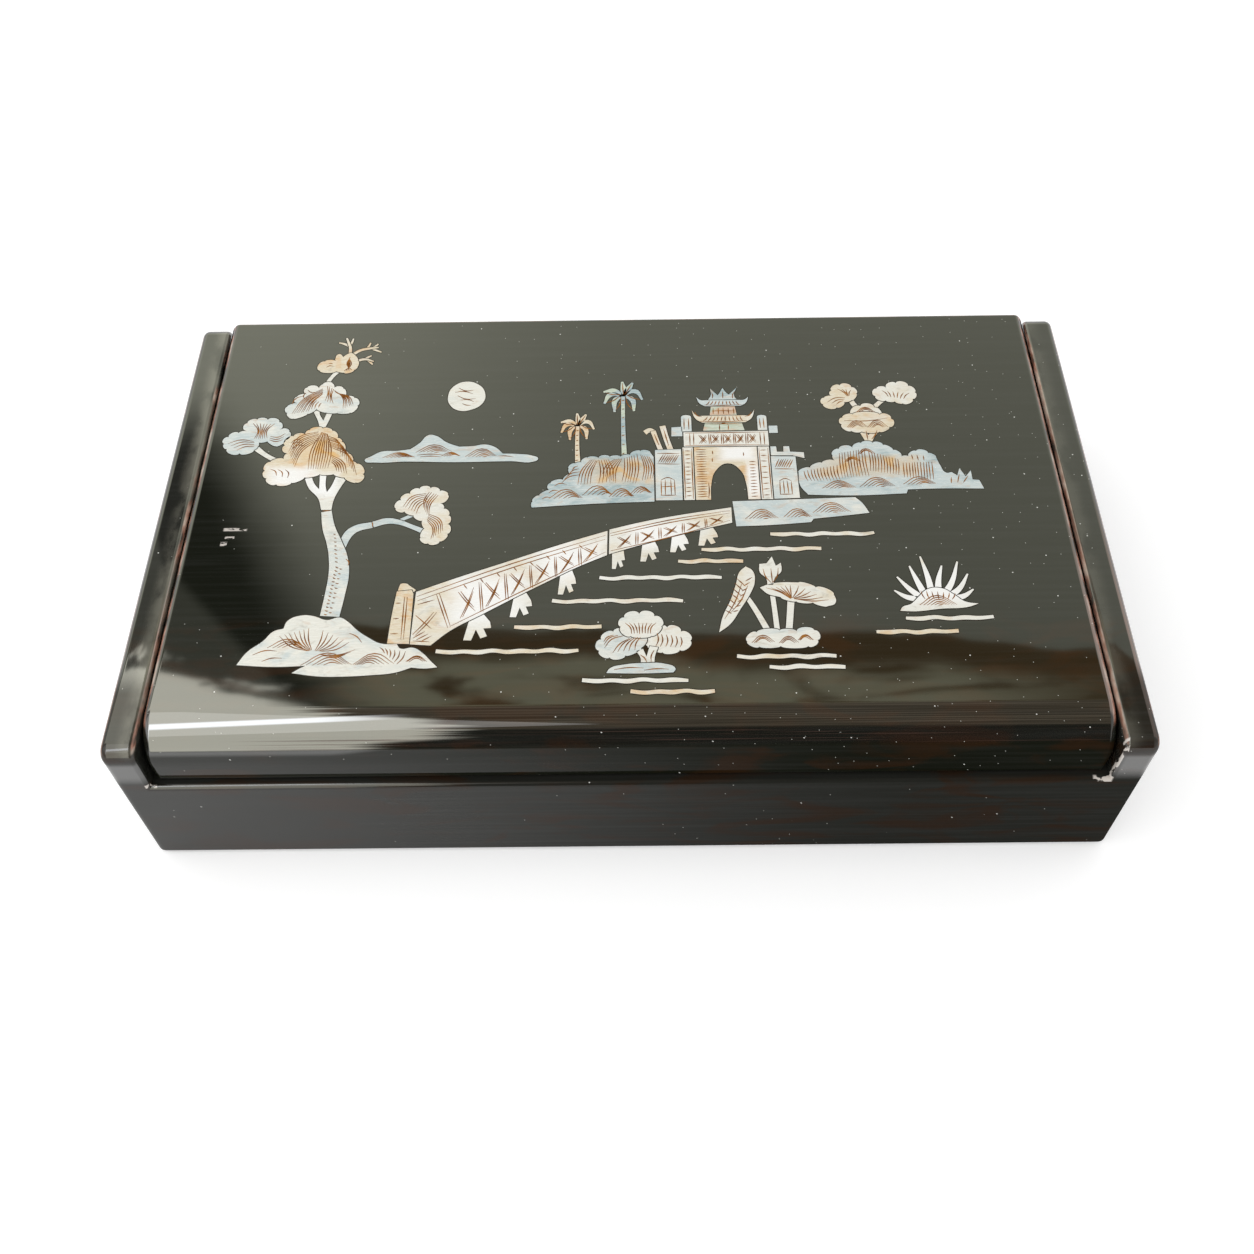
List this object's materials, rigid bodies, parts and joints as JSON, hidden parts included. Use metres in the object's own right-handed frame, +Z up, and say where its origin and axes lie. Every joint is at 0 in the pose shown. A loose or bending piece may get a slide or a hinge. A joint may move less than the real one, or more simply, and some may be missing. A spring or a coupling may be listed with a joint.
{
  "type": "lacquer ink box",
  "caption": "Low black lacquer writing box with raised end walls, a pin-hinged lid inlaid with mother-of-pearl, and a fitted ink stone, water dropper, ink stick and brushes.",
  "frame": {"origin": "middle of the footprint, on the table", "axes": "+X along the length, +Y from the front to the hinge side, +Z up"},
  "size_m": [0.24, 0.14, 0.0506],
  "materials": {
    "black_lacquer": "gloss",
    "red_lacquer": "satin",
    "shell": "gloss",
    "bamboo": "satin",
    "brass": "satin",
    "slate": "matte",
    "porcelain": "gloss",
    "ink": "satin",
    "horn": "gloss",
    "hair": "matte"
  },
  "bodies": {
    "tray": {"left_end_wall": "black_lacquer", "right_end_wall": "black_lacquer", "front_wall": "black_lacquer", "back_wall": "black_lacquer", "bottom_board": "black_lacquer", "corner_pegs": "bamboo", "left_lid_rest": "red_lacquer", "right_lid_rest": "red_lacquer", "bay_divider": "red_lacquer", "pivot_pins": "brass", "bed_board": "red_lacquer", "ink_stone": "slate", "water_dropper": "porcelain", "ink_stick": "ink", "brush_rests": "red_lacquer", "large_brush_handle": "bamboo", "large_brush_ferrule": "horn", "large_brush_tuft": "hair", "large_brush_cap": "bamboo", "small_brush_handle": "bamboo", "small_brush_ferrule": "horn", "small_brush_tuft": "hair"},
    "lid": {"lid_board": "black_lacquer", "lid_front_rail": "black_lacquer", "lid_hinge_rail": "black_lacquer", "lid_left_cleat": "black_lacquer", "lid_right_cleat": "black_lacquer", "inlay_pine_crowns": "shell", "inlay_pine_rock": "shell", "inlay_pine_trunk": "shell", "inlay_moon": "shell", "inlay_far_hills": "shell", "inlay_left_island": "shell", "inlay_palms": "shell", "inlay_gatehouse": "shell", "inlay_right_island": "shell", "inlay_hill_tree": "shell", "inlay_causeway": "shell", "inlay_bridge": "shell", "inlay_cloud_tree": "shell", "inlay_lotus": "shell", "inlay_reeds": "shell", "inlay_water_lines": "shell"}
  },
  "joints": [
    {"name": "lid_hinge", "type": "hinge", "parent": "tray", "child": "lid", "pos_m": [0, 0.0625, 0.0425], "axis": [-1, 0, 0], "range_deg": [0, 95]}
  ]
}
